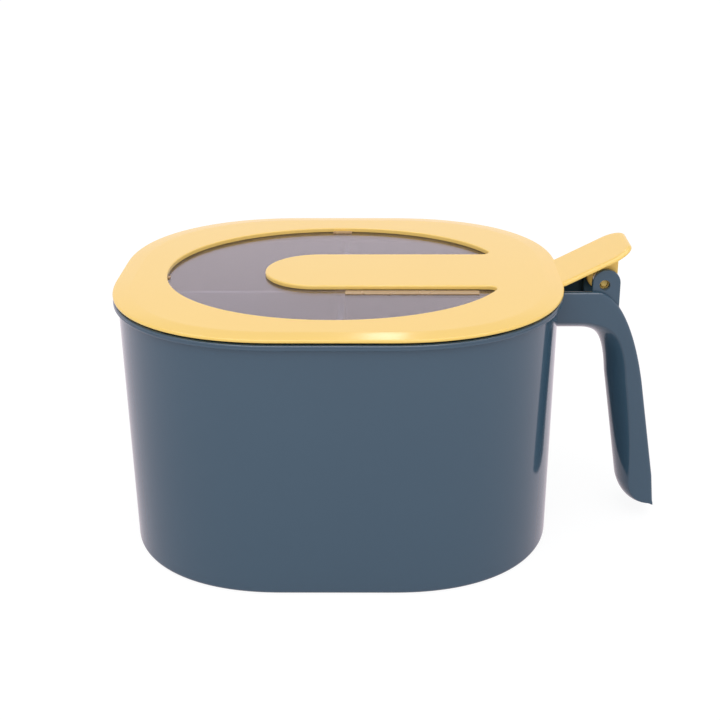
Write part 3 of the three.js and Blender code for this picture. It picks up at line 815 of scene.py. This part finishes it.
def makePlate():
    s = plateSizes
    top, low, margin = s["top"], s["top"] - s["thickness"], s["margin"]
    edge, steps = s["edge"], s["edgeSteps"]
    levels = [atHeight(windowOutline(margin - edge - s["faceGap"]), low)]
    levels += [atHeight(windowOutline(margin - inset), low + rise) for inset, rise in lowEdge(edge, steps)]
    levels += [atHeight(windowOutline(margin - inset), top - fall) for inset, fall in highEdge(edge, steps)]
    levels += [atHeight(windowOutline(margin - edge - s["faceGap"]), top)]
    mesh = bmesh.new()
    rings = growRings(mesh, levels)
    capRing(mesh, rings[0])
    capRing(mesh, rings[-1])
    bottom = top - s["thickness"] / 2
    halfRail = s["railWidth"] / 2
    rail = makeBar(s["railStart"], s["railEnd"], s["railY"] - halfRail, s["railY"] + halfRail,
                   bottom, s["railTop"], s["bevel"])
    mesh = joinShells(mesh, rail)
    middle, halfTab = lidSizes["windowX"], s["sideTabWidth"] / 2
    for side in (1, -1):
        outer = side * (lidSizes["windowDepth"] / 2 - s["tabInset"])
        inner = outer - side * s["sideTabDepth"]
        tab = makeBar(middle - halfTab, middle + halfTab, min(inner, outer), max(inner, outer),
                      bottom, top + s["sideTabHeight"], s["bevel"])
        mesh = joinShells(mesh, tab)
    front, halfTab = middle - lidSizes["windowLength"] / 2 + s["tabInset"], s["frontTabWidth"] / 2
    tab = makeBar(front, front + s["frontTabDepth"], s["frontTabY"] - halfTab, s["frontTabY"] + halfTab,
                  bottom, top + s["frontTabHeight"], s["bevel"])
    return joinShells(mesh, tab)


platePiece = finishPiece(makePlate(), "clear_window", ["window_plate"], "lid", clearPlastic)
platePiece.data.materials.append(mattClearPaintedReflection)      # on the rail and tabs, which stand above the plate
# Faces above the plate take the matt plastic, whose warm haze is painted reflection and painted highlight
for face in platePiece.data.polygons:
    if face.center.z > (plateSizes["top"] + plateSizes["paintedReflectionAbove"]) * mm:
        face.material_index = 1


pinSizes = {"radius": 1.4, "halfLength": 10.6, "chamfer": 0.35, "chamferSteps": 3, "sides": 48}


def makePin():
    s, h = pinSizes, handleSizes
    mesh = bmesh.new()
    bmesh.ops.create_cone(mesh, cap_ends=True, cap_tris=False, segments=s["sides"], radius1=s["radius"],
                          radius2=s["radius"], depth=2 * s["halfLength"])
    rims = [edge for edge in mesh.edges if abs(edge.verts[0].co.z - edge.verts[1].co.z) < s["chamfer"]]
    bmesh.ops.bevel(mesh, geom=rims, offset=s["chamfer"], affect="EDGES", segments=s["chamferSteps"],
                    profile=0.5, material=-1)
    bmesh.ops.rotate(mesh, cent=(0, 0, 0), matrix=Matrix.Rotation(math.pi / 2, 3, "X"), verts=mesh.verts[:])
    bmesh.ops.translate(mesh, vec=(h["pinX"], 0, h["pinZ"]), verts=mesh.verts[:])
    return mesh


finishPiece(makePin(), "pin_of_the_hinge", ["hinge_pin"], "lid", yellowPlastic)


spoonSizes = {
    "bowlLength": 26, "bowlWidth": 20, "bowlDepth": 7, "wall": 1.4, "foot": 0.3, "bottom": 4.6,
    "bowlX": 56, "bowlY": 20, "sides": 56, "bowlSteps": 12,
    "lipHeight": 0.4, "edge": 0.35, "edgeSteps": 3,
    "stemWidth": 6, "neckShare": 0.42, "stemBite": 0.6, "stemSteps": 12, "stemEndSteps": 10,
    "stemEndRight": 6.7, "stemEndLeft": 5.1,
}


def ovalRing(lengthHalf, widthHalf, z):
    s = spoonSizes
    return [Vector((s["bowlX"] + lengthHalf * math.cos(a), s["bowlY"] + widthHalf * math.sin(a), z))
            for a in (i / s["sides"] * 2 * math.pi for i in range(s["sides"]))]


# Small spoon with an oval bowl and a flat stem, made in the back right cell and mirrored into its own
def makeSpoon(signX, signY):
    s = spoonSizes
    half, width, wall = s["bowlLength"] / 2, s["bowlWidth"] / 2, s["wall"]
    low, high, lip, edge = s["bottom"], s["bottom"] + s["bowlDepth"], s["lipHeight"], s["edge"]

    def bowl(inset, base, top, angle):
        spread = s["foot"] + (1 - s["foot"]) * math.sin(angle)
        return ovalRing((half - inset) * spread, (width - inset) * spread,
                        base + (top - base) * (1 - math.cos(angle)))

    angles, turns = quarter(s["bowlSteps"]), quarter(s["edgeSteps"])
    levels = [bowl(0, low, high - lip, a) for a in angles]
    levels += [ovalRing(half - edge * (1 - math.cos(a)), width - edge * (1 - math.cos(a)),
                        high - lip + lip * math.sin(a)) for a in turns[1:]]
    levels += [ovalRing(half - wall + edge * (1 - math.sin(a)), width - wall + edge * (1 - math.sin(a)),
                        high - lip * (1 - math.cos(a))) for a in turns]
    levels += [bowl(wall, low + wall, high - lip, a) for a in reversed(angles[:-1])]
    mesh = bmesh.new()
    rings = growRings(mesh, levels)
    capRing(mesh, rings[0])
    capRing(mesh, rings[-1])

    end = s["stemEndRight"] if signX > 0 else s["stemEndLeft"]
    neck, tail = s["stemWidth"] * s["neckShare"], s["stemWidth"] / 2
    stemStart, stemEnd = s["bowlX"] - half + wall * s["stemBite"], end + tail
    ring = []
    for share in [i / s["stemSteps"] for i in range(s["stemSteps"] + 1)]:
        ring.append((stemStart + (stemEnd - stemStart) * share, neck + (tail - neck) * share))
    ring += [(stemEnd - tail * math.sin(a), tail * math.cos(a)) for a in quarter(s["stemEndSteps"])[1:]]
    ring += [(x, -y) for x, y in reversed(ring[:-1])]
    plan = [(x, s["bowlY"] + y) for x, y in ring]
    levels = [atHeight(offsetOutline(plan, -inset), high - wall + rise)
              for inset, rise in lowEdge(edge, s["edgeSteps"])]
    levels += [atHeight(offsetOutline(plan, -inset), high - fall)
               for inset, fall in highEdge(edge, s["edgeSteps"])]
    stem = bmesh.new()
    rings = growRings(stem, levels)
    capRing(stem, rings[0])
    capRing(stem, rings[-1])
    mesh = joinShells(mesh, stem)
    bmesh.ops.scale(mesh, vec=(signX, signY, 1), verts=mesh.verts[:])
    return mesh


for name, signX, signY in (("back_right", 1, 1), ("back_left", -1, 1), ("front_left", -1, -1),
                           ("front_right", 1, -1)):
    finishPiece(makeSpoon(signX, signY), "small_spoon_" + name, ["spoon_" + name], "body",
                yellowPlastic)


studio = {
    "floorSize": 16, "floorColour": "#f2f2f2", "shadowShare": 0.16, "whiteShare": 0.9,     # metres
    # the gloss glow's dimming towards the box is painted shade of the box on the floor
    "nearRadius": 85, "farRadius": 270, "nearGlowInPaintedShade": 0.82, "farGlow": 1.05,                 # millimetres
    "glossTint": "#fff3fb", "worldStrength": 0.95, "wallStrength": 1.15, "upperStrength": 0.8,
    "ceilingStrength": 4.2, "wallTop": 0.4, "upperBottom": 0.44, "upperTop": 0.72, "ceilingBottom": 0.8,
    "lampAim": (0, 0, 100),
}
keyLight = {"place": (-60, -900, 1350), "width": 1.5, "height": 1.2, "power": 7}
backLight = {"place": (14, 940, 745), "width": 0.052, "height": 0.16, "power": 0.155}


# Camera and glass see near-white paper with a faint shadow, and gloss sees a glow that grows outwards
def makeFloor():
    mesh = bmesh.new()
    bmesh.ops.create_grid(mesh, x_segments=1, y_segments=1, size=studio["floorSize"])
    data = bpy.data.meshes.new("floor")
    mesh.to_mesh(data)
    mesh.free()
    floor = bpy.data.objects.new("floor", data)
    scene.collection.objects.link(floor)
    material, tree = newMaterial("white paper floor")
    path = addNode(tree, "ShaderNodeLightPath")
    paper = addNode(tree, "ShaderNodeBsdfDiffuse", {"Color": hexColour(studio["floorColour"])})
    shaded = addNode(tree, "ShaderNodeBsdfDiffuse", {"Color": (studio["shadowShare"],) * 3 + (1,)})
    white = addNode(tree, "ShaderNodeEmission", {"Strength": studio["whiteShare"]})
    seen = addNode(tree, "ShaderNodeAddShader", links={0: shaded.outputs[0], 1: white.outputs[0]})
    place = addNode(tree, "ShaderNodeTexCoord").outputs["Object"]
    reach = addNode(tree, "ShaderNodeVectorMath", {"operation": "LENGTH"}, {0: place})
    # Painted shade: the glow seen in reflections is dimmer near the box, where the box shades the floor
    level = addNode(tree, "ShaderNodeMapRange",
                    {"From Min": studio["nearRadius"] * mm, "From Max": studio["farRadius"] * mm,
                     "To Min": studio["nearGlowInPaintedShade"], "To Max": studio["farGlow"]},
                    {"Value": reach.outputs["Value"]})
    glow = addNode(tree, "ShaderNodeEmission", {"Color": hexColour(studio["glossTint"])},
                   {"Strength": level.outputs["Result"]})
    lookRay = addNode(tree, "ShaderNodeMath", {"operation": "MAXIMUM"},
                      {0: path.outputs["Is Camera Ray"], 1: path.outputs["Is Transmission Ray"]})
    first = addNode(tree, "ShaderNodeMixShader",
                    links={0: lookRay.outputs[0], 1: paper.outputs[0], 2: seen.outputs[0]})
    second = addNode(tree, "ShaderNodeMixShader",
                     links={0: path.outputs["Is Glossy Ray"], 1: first.outputs[0], 2: glow.outputs[0]})
    addNode(tree, "ShaderNodeOutputMaterial", links={"Surface": second.outputs[0]})
    floor.data.materials.append(material)


# Camera and glass see white, and gloss sees a wall, a dimmer upper wall and a bright ceiling.
# Their heights are sines of the angle above the horizon.
def makeWorld():
    world = bpy.data.worlds.new("studio")
    world.use_nodes = True
    scene.world = world
    tree = world.node_tree
    tree.nodes.clear()
    path = addNode(tree, "ShaderNodeLightPath")
    soft = addNode(tree, "ShaderNodeBackground", {"Strength": studio["worldStrength"]})
    way = addNode(tree, "ShaderNodeTexCoord").outputs["Generated"]
    rise = addNode(tree, "ShaderNodeSeparateXYZ", links={0: way})
    upper = addNode(tree, "ShaderNodeMapRange",
                    {"From Min": studio["wallTop"], "From Max": studio["upperBottom"],
                     "To Min": studio["wallStrength"], "To Max": studio["upperStrength"]},
                    {"Value": rise.outputs["Z"]})
    ceiling = addNode(tree, "ShaderNodeMapRange",
                      {"From Min": studio["upperTop"], "From Max": studio["ceilingBottom"],
                       "To Min": 0, "To Max": studio["ceilingStrength"] - studio["upperStrength"]},
                      {"Value": rise.outputs["Z"]})
    level = addNode(tree, "ShaderNodeMath", {"operation": "ADD"},
                    {0: upper.outputs["Result"], 1: ceiling.outputs["Result"]})
    gloss = addNode(tree, "ShaderNodeBackground", {"Color": hexColour(studio["glossTint"])},
                    {"Strength": level.outputs[0]})
    white = addNode(tree, "ShaderNodeBackground", {"Color": (1, 1, 1, 1), "Strength": 1})
    first = addNode(tree, "ShaderNodeMixShader",
                    links={0: path.outputs["Is Glossy Ray"], 1: soft.outputs[0], 2: gloss.outputs[0]})
    lookRay = addNode(tree, "ShaderNodeMath", {"operation": "MAXIMUM"},
                      {0: path.outputs["Is Camera Ray"], 1: path.outputs["Is Transmission Ray"]})
    second = addNode(tree, "ShaderNodeMixShader",
                     links={0: lookRay.outputs[0], 1: first.outputs[0], 2: white.outputs[0]})
    addNode(tree, "ShaderNodeOutputWorld", links={"Surface": second.outputs[0]})


def makeLamp(name, light):
    data = bpy.data.lights.new(name, "AREA")
    data.shape = "RECTANGLE"
    data.size = light["width"]
    data.size_y = light["height"]
    data.energy = light["power"]
    lamp = bpy.data.objects.new(name, data)
    lamp.location = Vector(light["place"]) * mm
    aim = Vector(studio["lampAim"]) * mm - lamp.location
    lamp.rotation_euler = aim.to_track_quat("-Z", "Y").to_euler()
    lamp.visible_camera = False
    lamp.visible_transmission = False
    scene.collection.objects.link(lamp)


makeFloor()
makeWorld()
makeLamp("key light", keyLight)
makeLamp("back light", backLight)
scene.view_settings.view_transform = "Standard"
print("studio ready")
